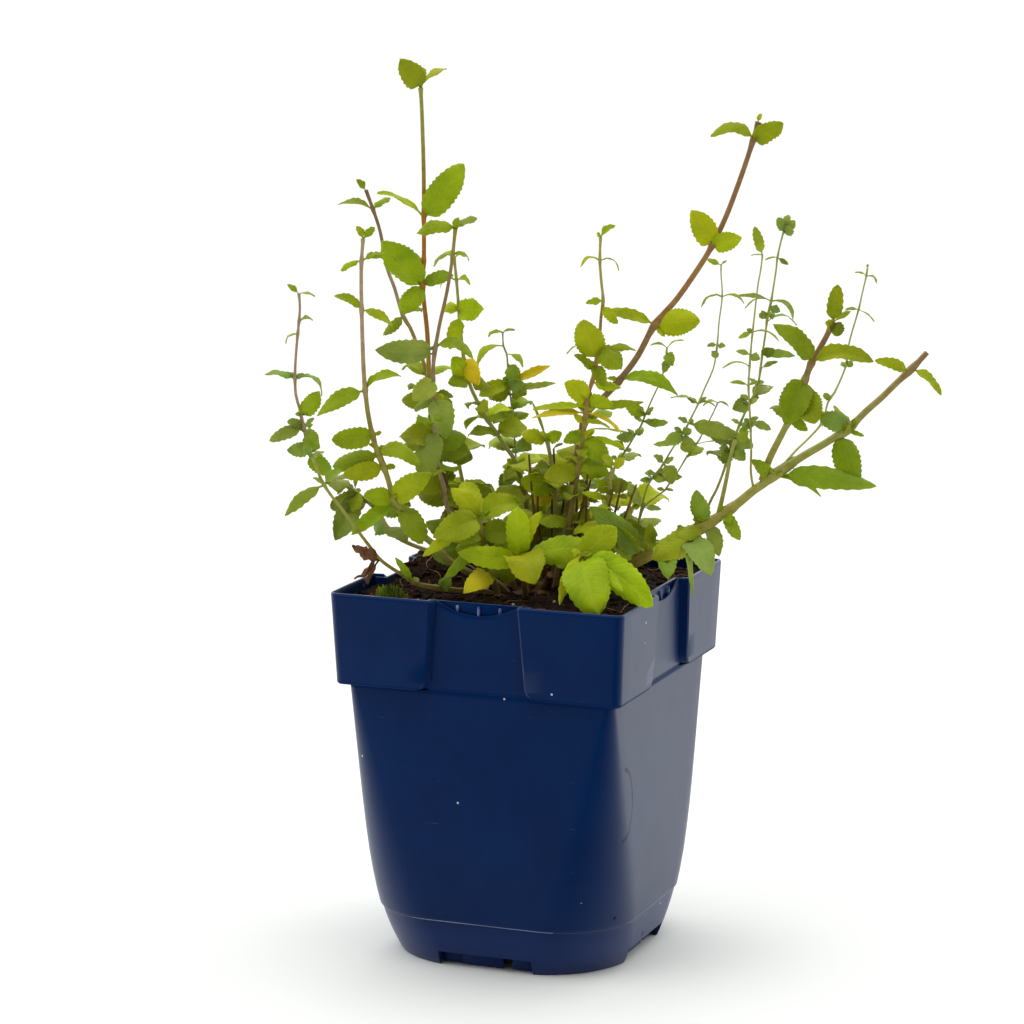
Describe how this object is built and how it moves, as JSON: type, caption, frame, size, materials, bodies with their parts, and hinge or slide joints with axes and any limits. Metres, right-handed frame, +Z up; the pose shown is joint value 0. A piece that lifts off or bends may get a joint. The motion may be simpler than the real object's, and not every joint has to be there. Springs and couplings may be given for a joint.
{
  "type": "potted catmint",
  "caption": "Catmint herb with square arching stems and paired scalloped leaves, growing in a square plastic nursery pot of dark soil.",
  "frame": {"origin": "centre of the pot's footprint, on the floor it stands on", "axes": "+Z up, pot sides face -Y, +X, +Y and -X; -Y is the front"},
  "size_m": [0.2432, 0.1315, 0.3184],
  "materials": {
    "pot_plastic": "satin",
    "potting_mix": "matte",
    "catmint_stem": "satin",
    "catmint_leaf": "satin",
    "woody_crown": "matte",
    "bark": "matte",
    "moss": "matte",
    "dried_leaf": "matte"
  },
  "bodies": {
    "root": {"bark_chip_1": "bark", "bark_chip_2": "bark", "bark_chip_3": "bark", "bark_chip_4": "bark", "crown": "woody_crown", "dried_leaf": "dried_leaf", "leaf_arching_right_1": "catmint_leaf", "leaf_back_left_1": "catmint_leaf", "leaf_back_left_2": "catmint_leaf", "leaf_back_left_3": "catmint_leaf", "leaf_back_middle_1": "catmint_leaf", "leaf_back_middle_2": "catmint_leaf", "leaf_back_middle_3": "catmint_leaf", "leaf_back_right_1": "catmint_leaf", "leaf_back_right_2": "catmint_leaf", "leaf_centre_right_1": "catmint_leaf", "leaf_front_centre_1": "catmint_leaf", "leaf_front_left_1": "catmint_leaf", "leaf_front_right_1": "catmint_leaf", "leaf_front_right_2": "catmint_leaf", "leaf_reaching_right_1": "catmint_leaf", "leaf_reaching_right_2": "catmint_leaf", "leaf_reaching_right_3": "catmint_leaf", "leaf_reaching_right_4": "catmint_leaf", "leaf_right_thick_1": "catmint_leaf", "leaf_right_thick_2": "catmint_leaf", "leaf_tall_left_1": "catmint_leaf", "leaf_tall_left_2": "catmint_leaf", "moss_tuft": "moss", "pot": "pot_plastic", "potting_mix": "potting_mix", "shoot_arching_right": "catmint_stem", "shoot_back_left": "catmint_stem", "shoot_back_middle": "catmint_stem", "shoot_back_right": "catmint_stem", "shoot_centre_back": "catmint_stem", "shoot_centre_left": "catmint_stem", "shoot_centre_right": "catmint_stem", "shoot_far_left": "catmint_stem", "shoot_front_centre": "catmint_stem", "shoot_front_left": "catmint_stem", "shoot_front_right": "catmint_stem", "shoot_inner_back": "catmint_stem", "shoot_inner_left": "catmint_stem", "shoot_inner_right": "catmint_stem", "shoot_left_back": "catmint_stem", "shoot_left_front": "catmint_stem", "shoot_left_middle": "catmint_stem", "shoot_low_left": "catmint_stem", "shoot_reaching_right": "catmint_stem", "shoot_right_back": "catmint_stem", "shoot_right_far": "catmint_stem", "shoot_right_inner": "catmint_stem", "shoot_right_pair": "catmint_stem", "shoot_right_slender": "catmint_stem", "shoot_right_thick": "catmint_stem", "shoot_right_thin": "catmint_stem", "shoot_right_upright": "catmint_stem", "shoot_tall_left": "catmint_stem"}
  },
  "joints": []
}
